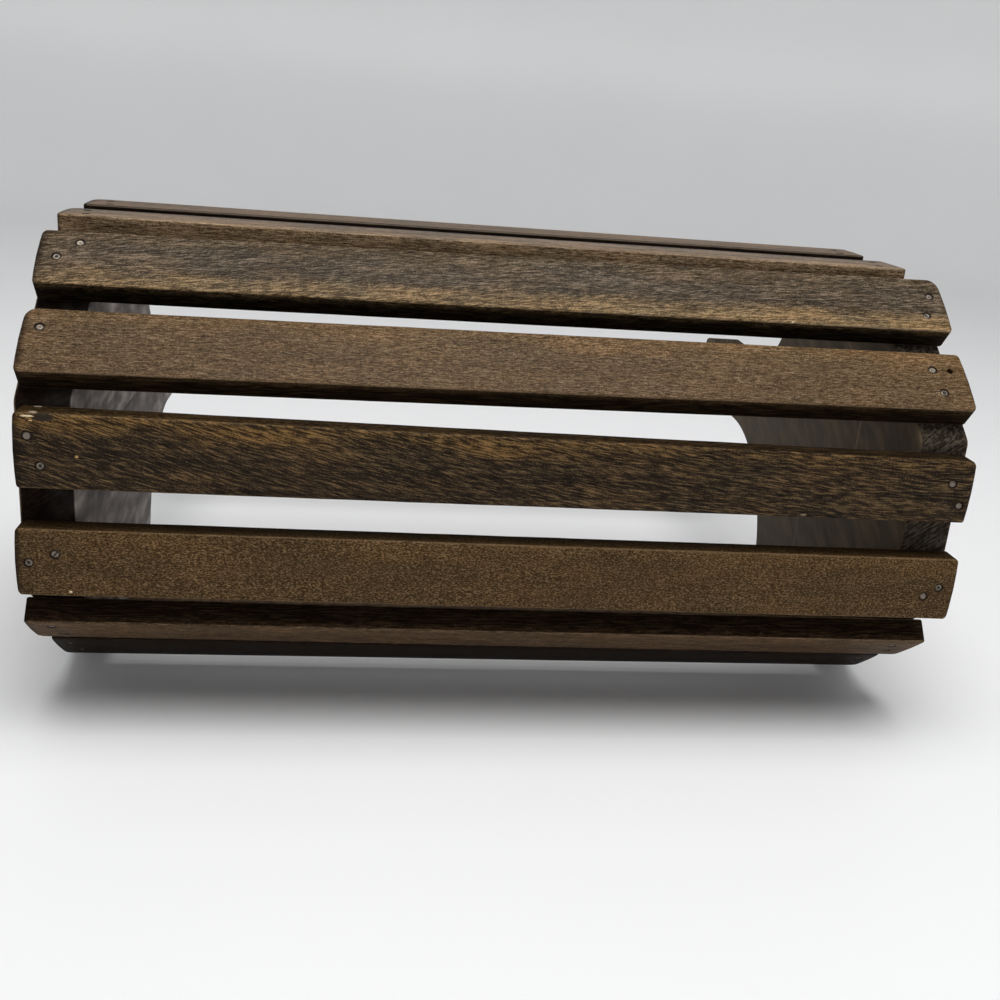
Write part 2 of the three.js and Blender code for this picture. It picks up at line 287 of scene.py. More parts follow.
class Value:
    """A value that varies over a surface. Sums on it add Math nodes to its material."""

    def __init__(self, paint, socket):
        self.paint = paint
        self.socket = socket

    def __add__(self, other):
        return self.paint.sum("ADD", self, other)

    __radd__ = __add__

    def __sub__(self, other):
        return self.paint.sum("SUBTRACT", self, other)

    def __rsub__(self, other):
        return self.paint.sum("SUBTRACT", other, self)

    def __mul__(self, other):
        return self.paint.sum("MULTIPLY", self, other)

    __rmul__ = __mul__

    def __truediv__(self, other):
        return self.paint.sum("DIVIDE", self, other)

    def __pow__(self, other):
        return self.paint.sum("POWER", self, other)

    def __abs__(self):
        return self.paint.sum("ABSOLUTE", self, 0.0)

    def at_least(self, other):
        return self.paint.sum("MAXIMUM", self, other)

    def wave(self):
        return self.paint.sum("SINE", self, 0.0)

    def rise(self, low, high):
        """0 up to low, 1 from high on and a smooth rise between them. Falls where high is the lower one."""
        limits = {"From Min": min(low, high), "From Max": max(low, high)}
        ends = {"To Min": 0.0, "To Max": 1.0} if low < high else {"To Min": 1.0, "To Max": 0.0}
        return self.paint.node(
            "ShaderNodeMapRange", {"Value": self, **limits, **ends}, interpolation_type="SMOOTHSTEP",
        )


class Paint:
    """The node tree of one material."""

    def __init__(self, name):
        self.material = bpy.data.materials.new(name)
        self.material.use_nodes = True
        self.tree = self.material.node_tree
        self.tree.nodes.clear()

    def node(self, kind, inputs, output=0, stops=None, **settings):
        """Adds a node: its settings first, then the values or links of its sockets."""
        made = self.tree.nodes.new(kind)
        for name, value in settings.items():
            setattr(made, name, value)
        for stop, (place, colour) in enumerate(stops or ()):
            elements = made.color_ramp.elements
            element = elements[stop] if stop < 2 else elements.new(place)
            element.position = place
            element.color = (*colour, 1.0)
        sockets = {socket.identifier: socket for socket in made.inputs}
        for name, value in inputs.items():
            if isinstance(value, Value):
                self.tree.links.new(value.socket, sockets[name])
            else:
                sockets[name].default_value = value
        return Value(self, made.outputs[output])

    def sum(self, operation, first, second):
        return self.node("ShaderNodeMath", {"Value": first, "Value_001": second}, operation=operation)

    def mix(self, share, first, second, blend_type="MIX"):
        """Mixes two colours."""
        colours = {
            name: colour if isinstance(colour, Value) else (*colour[:3], 1.0)
            for name, colour in (("A_Color", first), ("B_Color", second))
        }
        return self.node(
            "ShaderNodeMix", {"Factor_Float": share, **colours}, output=2,
            data_type="RGBA", blend_type=blend_type, clamp_factor=True,
        )

    def split(self, vector):
        parts = self.node("ShaderNodeSeparateXYZ", {"Vector": vector})
        return [Value(self, socket) for socket in parts.socket.node.outputs]

    def join(self, x, y, z):
        return self.node("ShaderNodeCombineXYZ", {"X": x, "Y": y, "Z": z})

    def coordinates(self):
        """The caddy's own coordinates, in metres."""
        return self.node("ShaderNodeTexCoord", {}, output=3)

    def ramp(self, share, dark, body, light, places=(0.0, 0.5, 1.0)):
        """Runs from a dark tone through a middle one to a light one, at those places of the share."""
        return self.node(
            "ShaderNodeValToRGB", {"Fac": share}, stops=list(zip(places, (dark, body, light))),
        )

    def noise(self, place, detail=2.0, roughness=0.5, scale=1.0):
        """Cloudy noise about 0.5, with features about 1 in size over the scale."""
        return self.node("ShaderNodeTexNoise", {
            "Vector": place, "Scale": scale, "Detail": detail, "Roughness": roughness,
        })

    def near(self, place, point, inner, outer):
        """1 within the inner distance of a point, and 0 past the outer one."""
        apart = self.node(
            "ShaderNodeVectorMath", {"Vector": place, "Vector_001": point}, output=1, operation="DISTANCE",
        )
        return apart.rise(outer, inner)

    def finish(self, colour, roughness, height, **constants):
        """Adds the surface itself. Heights are in millimetres."""
        bump = self.node("ShaderNodeBump", {"Height": height, "Distance": MM, "Strength": 1.0})
        surface = self.node("ShaderNodeBsdfPrincipled", {
            "Base Color": colour, "Roughness": roughness, "Normal": bump,
            **{name.replace("_", " "): value for name, value in constants.items()},
        })
        output = self.tree.nodes.new("ShaderNodeOutputMaterial")
        self.tree.links.new(surface.socket, output.inputs["Surface"])
        return self.material


class Place:
    """Where a straight piece of the frame lies: its middle, its directions and its size along them."""

    def __init__(self, node, along, out):
        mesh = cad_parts[node].data
        self.along = facing(mesh, along)
        self.out = facing(mesh, out)
        self.out = (self.out - self.along * self.out.dot(self.along)).normalized()
        self.across = self.out.cross(self.along)
        low, high = span(node, self.axes)
        self.size = high - low
        self.middle = self.axes @ ((low + high) / 2)

    @property
    def axes(self):
        """Columns along, across and out, so that it turns the piece's own directions into the caddy's."""
        return Matrix((self.along, self.across, self.out)).transposed()

    @property
    def matrix(self):
        return Matrix.Translation(self.middle) @ self.axes.to_4x4()

    def inward(self, point):
        """A point of the caddy in the piece's own directions, in millimetres from its middle."""
        return (self.axes.transposed() @ (point - self.middle)) / MM


def facing(mesh, rough):
    """The average direction of a mesh's flat faces that look about the rough way."""
    rough = rough.normalized()
    sums = {}
    for face in mesh.polygons:
        if face.normal.dot(rough) > 0.98:
            key = tuple(round(part, 2) for part in face.normal)
            sums[key] = sums.get(key, Vector()) + face.normal * face.area
    return max(sums.values(), key=lambda total: total.length).normalized()


def span(node, axes):
    """The lowest and highest place of a node along three directions, the columns of axes."""
    turned = [axes.transposed() @ vertex.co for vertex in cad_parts[node].data.vertices]
    low = Vector(min(point[i] for point in turned) for i in range(3))
    high = Vector(max(point[i] for point in turned) for i in range(3))
    return low, high


def slat_place(number):
    """A slat's place. Its out direction is square to the flat of the end board that it lies on."""
    node = SLAT_NODES[number - 1]
    low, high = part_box(node)
    middle = (low + high) / 2
    boards = [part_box(board) for board in BOARD_NODES]
    centre_height = (boards[0][0].z + boards[0][1].z) / 2
    slope = slope_angle()
    outward = {
        "side": UP if middle.z > centre_height else -UP,
        "base": -TOP,
        "slope": -TOP * math.cos(slope) + UP * math.copysign(math.sin(slope), middle.z - centre_height),
    }
    return Place(node, RIGHT, outward[node.split("_")[-1]])


def slope_angle():
    """The turn of an end board's sloping side from its base edge."""
    timber = bpy.context.scene.caddy_timber
    low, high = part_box(BOARD_NODES[0])
    run = (high.z - low.z - timber.base_flat) / 2
    return math.atan2(timber.bend_height, run)


def nails_of(number):
    """The names of the nails that hold a slat."""
    start = f"nail_{number:02d}_"
    return sorted(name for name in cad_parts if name.startswith(start))


def to_object(shape, name, material, body="root", slot=None, replaces=()):
    """Turns a bmesh into a finished piece that rides on a body of the frame."""
    mesh = bpy.data.meshes.new(name)
    shape.to_mesh(mesh)
    shape.free()
    piece = bpy.data.objects.new(name, mesh)
    bpy.context.scene.collection.objects.link(piece)
    mesh.materials.append(material)
    if slot:
        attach(piece, body)
        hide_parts(*replaces)
    return piece


def box_shape(size):
    """A box about the origin."""
    shape = bmesh.new()
    bmesh.ops.create_cube(shape, size=1.0, matrix=Matrix.Diagonal((*size, 1.0)))
    return shape


def bevel(shape, edges, offset, segments):
    bmesh.ops.bevel(
        shape, geom=edges, offset=offset, offset_type="OFFSET", affect="EDGES",
        segments=segments, profile=0.5, material=-1, clamp_overlap=True,
    )


def slice_at(shape, point, normal):
    bmesh.ops.bisect_plane(
        shape, geom=shape.verts[:] + shape.edges[:] + shape.faces[:], dist=1e-7,
        plane_co=point, plane_no=normal,
    )


def bored(piece, cutters):
    """Cuts closed cutter shapes out of a piece and leaves one finished mesh."""
    holes = to_object(cutters, piece.name + "_holes", piece.data.materials[0])
    cutting = piece.modifiers.new("Holes", "BOOLEAN")
    cutting.operation = "DIFFERENCE"
    cutting.solver = "EXACT"
    cutting.object = holes
    bpy.context.view_layer.update()
    graph = bpy.context.evaluated_depsgraph_get()
    mesh = bpy.data.meshes.new_from_object(piece.evaluated_get(graph), depsgraph=graph)
    piece.modifiers.clear()
    old = piece.data
    piece.data = mesh
    mesh.name = piece.name
    bpy.data.meshes.remove(old)
    bpy.data.objects.remove(holes)
    return piece


def smooth(piece, angle):
    """Smooth shading, with creases where the surface turns by more than the angle."""
    piece.data.shade_smooth()
    piece.data.set_sharp_from_angle(angle=math.radians(angle))
    return piece


def turned_shape(profile, sides):
    """A shape turned about Z from a profile of (radius, height), closed if it ends on the axis."""
    shape = bmesh.new()
    points = [shape.verts.new((radius, 0, height)) for radius, height in profile]
    edges = [shape.edges.new(pair) for pair in zip(points, points[1:])]
    bmesh.ops.spin(
        shape, geom=points + edges, cent=(0, 0, 0), axis=(0, 0, 1), angle=math.tau,
        steps=sides, use_merge=True,
    )
    bmesh.ops.remove_doubles(shape, verts=shape.verts, dist=1e-7)
    bmesh.ops.recalc_face_normals(shape, faces=shape.faces)
    return shape


def add_shape(shape, other, matrix=None):
    """Adds another bmesh to a shape and frees it."""
    if matrix:
        bmesh.ops.transform(other, matrix=matrix, verts=other.verts)
    carrier = bpy.data.meshes.new("carrier")
    other.to_mesh(carrier)
    other.free()
    shape.from_mesh(carrier)
    bpy.data.meshes.remove(carrier)


# How the heads that show are struck: flat, with a ring round a dimple, or with a slanting dent
HEADS = {
    "nail_03_left_a": "flat", "nail_03_left_b": "ring", "nail_04_left_a": "flat",
    "nail_05_left_a": "flat", "nail_05_left_b": "ring", "nail_06_left_a": "dent", "nail_06_left_b": "ring",
    "nail_03_right_a": "flat", "nail_03_right_b": "ring", "nail_04_right_a": "flat",
    "nail_04_right_b": "ring", "nail_05_right_a": "flat", "nail_05_right_b": "flat",
    "nail_06_right_a": "ring", "nail_06_right_b": "flat",
}
DIMPLES = {"flat": 0.12, "dent": 0.6, "ring": 1.1}


class Nail(NamedTuple):
    """A nail's place: the middle of its head's face, the way out of the wood, and its sizes."""
    head: Vector
    axes: Matrix
    radius: float
    length: float

    @property
    def matrix(self):
        return Matrix.Translation(self.head) @ self.axes.to_4x4()


def nail_at(node, axes):
    """Reads a nail's place from its node, given the directions of the piece that it is driven into."""
    low, high = span(node, axes)
    size = high - low
    middle = (low + high) / 2
    middle.z = high.z
    return Nail(axes @ middle, axes, max(size.x, size.y) / 2, size.z)


NAIL_GAP = 0.1 * MM
NAIL_HEAD_THICKNESS = 1.0 * MM
NAIL_SHANK_RADIUS = 0.9 * MM
NAIL_POINT = 2.4 * MM
BORE_GAP = 0.3 * MM
# How far a hole's cutter stands out of the wood, and how much wider the hole is at its rim
CUTTER_RISE = 2 * MM
HOLE_CHAMFER = 0.12 * MM
HOLE_SIDES = 20
# A shoulder's curve, as a share of the step from the board's side to its post
SHOULDER_SHARE = 0.985


def nail_hole(nail):
    """The recess and hole that a nail sits in, as a cutter."""
    rim = nail.radius + NAIL_GAP
    shank = NAIL_SHANK_RADIUS + NAIL_GAP
    floor = -NAIL_HEAD_THICKNESS - NAIL_GAP
    profile = [
        (0, CUTTER_RISE),
        (rim + HOLE_CHAMFER, CUTTER_RISE),
        (rim + HOLE_CHAMFER, 0.3 * MM),
        (rim, 0.1 * MM),
        (rim - 0.03 * MM, floor),
        (shank, floor),
        (shank, -nail.length + NAIL_POINT),
        (0, -nail.length - NAIL_GAP),
    ]
    shape = turned_shape(profile, HOLE_SIDES)
    bmesh.ops.transform(shape, matrix=nail.matrix, verts=shape.verts)
    return shape


def wander(point, seed, amount, along=14 * MM):
    """A smooth, repeatable unevenness, from 0 to the amount."""
    place = Vector((point.x / along, point.y / (9 * MM), point.z / (9 * MM)))
    return (noise.noise(place + Vector((seed * 7.3, seed * 3.1, seed))) + 1) / 2 * amount


def end_widths(node, place):
    """A slat's widths at its left and its right end."""
    ends = {-1: 0.0, 1: 0.0}
    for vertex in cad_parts[node].data.vertices:
        point = place.axes.transposed() @ (vertex.co - place.middle)
        if abs(point.x) > 0.4 * place.size.x:
            side = math.copysign(1, point.x)
            ends[side] = max(ends[side], 2 * abs(point.y))
    return ends[-1], ends[1]


def slat_shape(node, place, timber, look):
    """A slat in its own directions: rounded corners, eased arrises and slightly uneven faces."""
    length, width, thickness = place.size
    shape = box_shape(place.size)
    quarters = [(-1, 1), (1, 1), (1, -1), (-1, -1)]
    for (side, rise), radius in zip(quarters, look.corners):
        posts = [
            edge for edge in shape.edges
            if all(end.co.x * side > 0.49 * length and end.co.y * rise > 0.45 * width for end in edge.verts)
            and abs(edge.verts[0].co.z - edge.verts[1].co.z) > thickness / 2
        ]
        bevel(shape, posts, radius * MM, 5)
    reach = length / 2 - 1.05 * max(look.corners) * MM
    for station in range(timber.stations + 1):
        x = -reach + 2 * reach * station / timber.stations
        slice_at(shape, (x, 0, 0), (1, 0, 0))
    for part in (-0.28, 0, 0.28):
        slice_at(shape, (0, part * width, 0), (0, 1, 0))
    left, right = end_widths(node, place)
    for vertex in shape.verts:
        point = vertex.co
        from_middle = point.y / (width / 2)
        beyond = max(0.0, abs(point.x) - reach) / (length / 2 - reach)
        share = point.x / length + 0.5
        across = wander(point, look.seed, timber.unevenness)
        through = wander(point, look.seed + 50, timber.unevenness * 0.7, along=60 * MM)
        point.x -= math.copysign(timber.end_bow * from_middle ** 2 * beyond, point.x)
        point.y = point.y * (left + (right - left) * share) / width - math.copysign(across, point.y)
        point.z -= math.copysign(through, point.z)
    rims = [
        edge for edge in shape.edges
        if len(edge.link_faces) == 2 and edge.calc_face_angle() > math.radians(60)
    ]
    bevel(shape, rims, timber.arris, 3)
    return shape


def local_place(paint, place):
    """A straight piece's own coordinates in millimetres from its middle: along, across and out."""
    return paint.node(
        "ShaderNodeMapping",
        {
            "Vector": paint.coordinates(),
            "Location": place.middle,
            "Rotation": place.axes.to_euler(),
            "Scale": (MM, MM, MM),
        },
        vector_type="TEXTURE",
    )


def grain(paint, u, across, w, size, **settings):
    """Noise about 0 that is drawn out along the grain to a length and a width."""
    length, width = size
    return paint.noise(paint.join(u / length, across / width, w / width), **settings) - 0.5


def slat_material(number, place):
    """Stained and varnished slat: slanted streaks, fine dashes, golden wear and dark narrow faces."""
    look = FIGURES[number]
    length, width, thickness = (size / MM for size in place.size)
    paint = Paint(f"stained_slat_{number:02d}")
    local = local_place(paint, place)
    u, v, w = paint.split(local)
    left_to_right = u / length + 0.5
    moved = u + look.seed * 37.0

    mean_slant = (look.slant[0] + look.slant[1]) / 2
    turn = (look.slant[1] - look.slant[0]) / (2 * length)
    drift = grain(paint, moved, v, w, (30, 9), detail=2)
    across = v - u * mean_slant - u * u * turn + drift * 3

    bands = grain(paint, moved, v + drift * 4, w, (150, 4.5), detail=2)
    patches = grain(paint, moved, v, w, (26, 9), detail=3)
    strength, *size = look.streaks
    streaks = grain(paint, moved, across, w, size, detail=1.5, roughness=0.55) * strength
    strength, *size = look.dashes
    dashes = grain(paint, moved, across, w, size, detail=0) * strength
    fibres = grain(paint, moved, v + drift * 3, w, (14, 0.4), detail=0)
    speckle = grain(paint, moved, across, w, (0.7, 0.36), detail=0)
    flecks = grain(paint, moved + 61, across, w, (2.6, 0.45), detail=1).rise(0.1, 0.2)
    flecks = flecks * patches.rise(-0.1, 0.14)

    side, worn_left, worn_right = look.golden
    worn_gold = left_to_right * (worn_right - worn_left) + worn_left
    golden = (v * side + patches * 14 + drift * 6).rise(0.1 * width, 0.42 * width) * worn_gold

    shade = golden * GOLD_LIFT + streaks + dashes + 0.5
    for part, strength in zip((bands, patches, fibres, speckle), look.grain):
        shade = shade + part * strength
    colour = paint.ramp(shade, look.dark, look.body, look.light)
    colour = paint.mix(flecks * look.flecks, colour, look.light)
    tints = [
        (golden, GOLD_TINT),
        ((abs(v - 1.5) + patches * 12).rise(8.0, 3.0) * look.greyed, GREY_TINT),
        (patches.rise(-0.16, 0.16), WARM_TINT),
    ]
    for share, tint in tints:
        colour = paint.mix(share, colour, paint.mix(1.0, colour, tint, "MULTIPLY"))

    # Distances in from the long edges, the ends and the broad faces
    from_edge = width / 2 - abs(v)
    from_end = length / 2 - abs(u)
    from_face = thickness / 2 - abs(w)
    ragged = grain(paint, moved, v, w, (6, 1.5), detail=3)
    narrow = from_face.rise(0.35, 0.85)
    on_upper = v.rise(-1.0, 1.0)
    # Narrow faces darkened, partly stain and partly painted shade, more towards the inner face where slats
    # shade each other
    stain_and_shade_share = on_upper * (look.edges[0] - look.edges[1]) + look.edges[1]
    stain_and_shade_share = stain_and_shade_share * (1.0 - (w + ragged * 5).rise(1.0, 4.8) * 0.3)
    streaky = (streaks + fibres).rise(-0.05, 0.2) * 0.25 + 0.02
    stained = paint.mix(streaky, EDGE_STAIN_AND_SHADE, look.body)
    colour = paint.mix(narrow * stain_and_shade_share, colour, stained)
    # Where a slat's figure asks for it, a band of painted shade runs from its long edges onto its broad
    # faces, in the edge colour
    upper, lower = look.border
    border = (on_upper * (upper - lower) + lower) * (ragged + 1.0)
    colour = paint.mix((from_edge - border).rise(0.0, -1.0) * 0.85, colour, EDGE_STAIN_AND_SHADE)
    end_band = (u + ragged * 4).rise(-length / 2 + 3.2, -length / 2 + 0.8) * 0.65
    end_band = end_band.at_least((from_end + ragged * 1.5).rise(1.0, 0.3) * 0.8)
    colour = paint.mix(end_band, colour, EDGE_STAIN_AND_SHADE)
    # Arrises lightened towards the light tone: partly wear, partly a painted highlight
    worn = (from_edge + ragged * 1.4).rise(0.9, 0.3) * (from_face + ragged * 0.5).rise(0.9, 0.4)
    worn = worn * from_end.rise(0.5, 3.0) * (on_upper * (look.worn[0] - look.worn[1]) + look.worn[1])
    colour = paint.mix(worn, colour, look.light)

    # A dark ring round each nail: partly stain, partly painted shade round its recess
    halo = 0.0
    for nail in nails_of(number):
        head = place.inward(nail_at(nail, place.axes).head)
        ring = paint.near(local, head, *NAIL_STAIN_AND_SHADE_REACH) * 0.8
        halo = ring if isinstance(halo, float) else ring.at_least(halo)
    colour = paint.mix(halo, colour, NAIL_STAIN_AND_SHADE)
    torn = grain(paint, moved, v, w, (0.9, 0.35), detail=2)
    for mark in look.marks:
        colour = paint.mix(mark_shape(u, v, mark, torn) * from_face.rise(2.6, 1.6), colour, mark.colour)

    roughness = 0.58 + patches * 0.12 + narrow * 0.2
    height = streaks * 0.05 + dashes * 0.12 + speckle * 0.12 + patches * 0.08
    return paint.finish(
        colour, roughness, height, Coat_Weight=(1.0 - narrow) * look.varnish, **WOOD_GLOSS,
    )


def mark_shape(u, v, mark, torn):
    """1 inside a mark with torn edges, and 0 outside it."""
    along = (u - mark.place[0]) / mark.size[0]
    across = (v - mark.place[1]) / mark.size[1]
    return (along * along + across * across + torn * 2.5).rise(1.3, 0.6)


def board_shape(node, timber, lean):
    """An end board in the caddy's frame, from its outline."""
    low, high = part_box(node)
    half_base = timber.base_flat / 2
    half = (high.z - low.z) / 2
    half_post = timber.post_width / 2
    height = high.y - low.y
    corners = [
        (-half_base, 0), (half_base, 0), (half, timber.bend_height), (half, timber.shoulder_height),
        (half_post, timber.shoulder_height), (half_post + lean, height),
        (-half_post + lean, height), (-half_post, timber.shoulder_height),
        (-half, timber.shoulder_height), (-half, timber.bend_height),
    ]
    centre = (low.z + high.z) / 2
    shape = bmesh.new()
    points = [shape.verts.new((low.x, low.y + up, centre - across)) for across, up in corners]
    face = shape.faces.new(points)
    made = bmesh.ops.extrude_face_region(shape, geom=[face])
    far = [item for item in made["geom"] if isinstance(item, bmesh.types.BMVert)]
    bmesh.ops.translate(shape, verts=far, vec=(high.x - low.x, 0, 0))
    bmesh.ops.recalc_face_normals(shape, faces=shape.faces)

    def posts_at(wanted):
        """The edges through the board's thickness at the outline's corners of those numbers."""
        found = []
        for number in wanted:
            across, up = corners[number]
            place = Vector((low.y + up, centre - across))
            found += [
                edge for edge in shape.edges
                if all((Vector(end.co.yz) - place).length < 1e-5 for end in edge.verts)
            ]
        return found

    bevel(shape, posts_at([5, 6]), timber.post_corner, 6)
    bevel(shape, posts_at([0, 1]), timber.rim_corner * math.tan(slope_angle() / 2), 8)
    shoulder = (half - half_post) * SHOULDER_SHARE
    bevel(shape, posts_at([4, 7]), shoulder, 28)
    rims = [
        edge for edge in shape.edges
        if sum(abs(other.normal.x) > 0.9 for other in edge.link_faces) == 1
    ]
    bevel(shape, rims, timber.board_arris, 4)
    return shape


class BoardLook(NamedTuple):
    """How an end board looks: its tones, its grain, the stain and relief of its sawn rim, and its marks.

    Grain is the strength of its patches, streaks and rings. Slant is the drop of its streaks towards
    its open side. A mark's place is (up the board, across it) in the caddy's Y and Z, in millimetres.
    On the left board the tones carry painted light and a painted grey sheen, and the rim's near-black
    is partly painted shade.
    """
    body: tuple
    dark: tuple
    light: tuple
    grain: tuple
    slant: float
    rim: tuple
    rim_light: tuple
    relief: float
    marks: tuple
    seed: float


BOARD_LOOKS = {
    # The left board's inner tones are painted light, lighter and greyer than the right board's with a painted
    # grey sheen; its near-black rim is partly stain and partly painted shade
    "end_board_left": BoardLook(
        body=tone(123, 113, 108), dark=tone(64, 56, 54), light=tone(185, 175, 167),
        grain=(1.5, 0.4, 0.06), slant=0.0,
        rim=tone(10, 6, 5), rim_light=tone(26, 19, 15), relief=1.2, seed=1.0,
        marks=(Mark((-32.0, 101.3), (16.0, 0.6), tone(24, 19, 16)),),
    ),
    "end_board_right": BoardLook(
        body=tone(84, 72, 56), dark=tone(45, 36, 26), light=tone(125, 105, 82),
        grain=(0.7, 0.22, 0.03), slant=-0.6,
        rim=tone(40, 35, 29), rim_light=tone(84, 76, 66), relief=3.5, seed=2.0,
        marks=(
            Mark((-83.4, 115.7), (1.0, 9.0), tone(124, 104, 84)),
            Mark((-35.0, 52.0), (0.9, 14.0), tone(104, 92, 78)),
        ),
    ),
}


def board_material(name, node):
    """An end board: its look's tones on the inner face, on the left board painted light with a painted grey
    sheen; stained on its outer face, with rough-sawn rims.
    """
    look = BOARD_LOOKS[node]
    low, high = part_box(node)
    centre = (low + high) / 2
    paint = Paint(name)
    local = paint.node(
        "ShaderNodeMapping",
        {"Vector": paint.coordinates(), "Location": centre, "Scale": (MM, MM, MM)},
        vector_type="TEXTURE",
    )
    w, u, v = paint.split(local)
    moved = u + look.seed * 41.0
    drift = grain(paint, moved, v, w, (90, 45), detail=2)
    pith_v = v + 22 + drift * 34
    pith_w = w + 64 + drift * 12
    radius = (pith_v * pith_v + pith_w * pith_w) ** 0.5
    rings = ((radius / 5.2 + drift * 1.5) * math.tau).wave()
    across = v + u * look.slant + drift * 8
    patches = grain(paint, moved, across, w, (18, 9), detail=3)
    streaks = grain(paint, moved, across, w, (22, 4), detail=2)
    fibres = grain(paint, moved, across, w, (9, 0.6), detail=1)
    shade = fibres * 0.15 + 0.5
    for part, strength in zip((patches, streaks, rings), look.grain):
        shade = shade + part * strength
    colour = paint.ramp(shade, look.dark, look.body, look.light, places=(0.1, 0.5, 0.9))
    # Only the outer face shows the clean stain
    outward = (w * math.copysign(1.0, centre.x)).rise(-2.0, 2.0)
    figure = grain(paint, moved, v + drift * 14, w, (70, 3.0), detail=3) * 1.1
    figure = figure + patches * 0.4 + fibres * 0.6 + rings * 0.07 + 0.5
    stained = paint.ramp(figure, WALNUT.dark, WALNUT.body, WALNUT.light)
    torn = grain(paint, moved, v, w, (2.5, 0.8), detail=3)
    for mark in look.marks:
        up, across_board = mark.place[0] - centre.y / MM, mark.place[1] - centre.z / MM
        shape = mark_shape(u, v, mark._replace(place=(up, across_board)), torn)
        colour = paint.mix(shape * 0.75, colour, mark.colour)
    colour = paint.mix(outward, colour, stained)

    half_thickness = (high.x - low.x) / 2 / MM
    from_face = half_thickness - abs(w)
    on_rim = from_face.rise(0.3, 1.0)
    # Saw marks run slanting across the rim, over torn fibres along it
    ragged = grain(paint, moved, v, w, (9, 1.5), detail=3)
    saw = paint.noise(paint.join((w + v * 0.5) / 7, (v - w * 0.7) / 0.9, u / 0.9), detail=3) - 0.5
    fuzz = paint.noise(paint.join(w / 2.2, u / 3.5, v / 3.5), detail=4, roughness=0.65) - 0.5
    sawn = paint.mix((saw * 1.4 + fuzz).rise(-0.15, 0.25), look.rim, look.rim_light)
    colour = paint.mix(on_rim * 0.95, colour, sawn)
    # Rim arrises lightened towards the light tone: partly wear, partly a painted highlight
    worn = (from_face + ragged * 1.6).rise(1.0, 0.2) * ragged.rise(-0.05, 0.15)
    on_face = from_face.rise(0.9, 0.2)
    colour = paint.mix(worn * (1.0 - on_face * 0.9) * 0.35, colour, look.light)
    roughness = 0.55 + patches * 0.2 + on_rim * 0.3
    height = streaks * 0.06 + fibres * 0.04 + on_rim * (saw * 0.25 + fuzz * 0.4) * look.relief
    return paint.finish(
        colour, roughness, height, Coat_Weight=(1.0 - on_rim) * 0.1, **WOOD_GLOSS,
    )


def handle_material(timber, place):
    """The dowel: straight grain, paler and smoother where hands hold it."""
    paint = Paint("stained_handle")
    u, v, w = paint.split(local_place(paint, place))
    drift = grain(paint, u, v, w, (60, 12), detail=2)
    across = v + drift * 3
    streaks = grain(paint, u, across, w, (18, 1.1), detail=4, roughness=0.6)
    fibres = grain(paint, u, across, w, (10, 0.35), detail=2)
    rings = ((across * 0.9 + w * 0.35 + drift * 3) * 1.4).wave()
    pores = grain(paint, u, across, w, (2.2, 0.3), detail=1.5).rise(0.02, 0.18)
    shade = 0.5 + streaks * 0.9 + fibres * 0.3 + rings * 0.06 - pores * 0.12
    body, dark, light = timber.handle_body[:], timber.handle_dark[:], timber.handle_light[:]
    colour = paint.ramp(shade, dark, body, light, places=(0.15, 0.5, 0.9))
    half_length = place.size.x / 2 / MM
    held = (abs(u) + drift * 40).rise(0.75 * half_length, 0.3 * half_length)
    colour = paint.mix(held * 0.3, colour, light)
    end = (half_length - abs(u)).rise(0.6, 0.2)
    colour = paint.mix(end * 0.6, colour, dark)
    roughness = 0.48 - held * 0.1 + pores * 0.1 + end * 0.2
    height = streaks * 0.03 + fibres * 0.02 - pores * 0.04
    return paint.finish(colour, roughness, height, Specular_IOR_Level=0.3)


def steel_material(steel):
    """Dull steel, with grime in the dimples and a little rust."""
    paint = Paint("dull_steel")
    coordinates = paint.coordinates()
    grime = paint.node("ShaderNodeAttribute", {}, output=2, attribute_name="grime")
    spots = paint.noise(coordinates, detail=3, scale=900.0)
    scratches = paint.noise(coordinates, detail=2, scale=3000.0)
    dirt = (grime + (spots - 0.5) * 1.8).rise(0.2, 0.8)
    colour = paint.mix(dirt, steel.colour[:], steel.grime[:])
    colour = paint.mix(spots.rise(0.55, 0.75) * 0.5, colour, tone(96, 66, 46))
    roughness = 0.4 + dirt * 0.4 + (scratches - 0.5) * 0.2
    metallic = 0.9 - dirt * 0.8
    height = spots * 0.06 + scratches * 0.02
    return paint.finish(colour, roughness, height, Metallic=metallic)


def stage_material(colour):
    """A pale matt floor with a faint unevenness."""
    paint = Paint("pale_floor")
    coordinates = paint.coordinates()
    cloud = paint.noise(coordinates, detail=3, scale=4.0) - 0.5
    shade = paint.mix(cloud.rise(-0.3, 0.3) * 0.06, colour, tone(205, 206, 206))
    return paint.finish(shade, 0.42 + cloud * 0.05, cloud * 0.02)


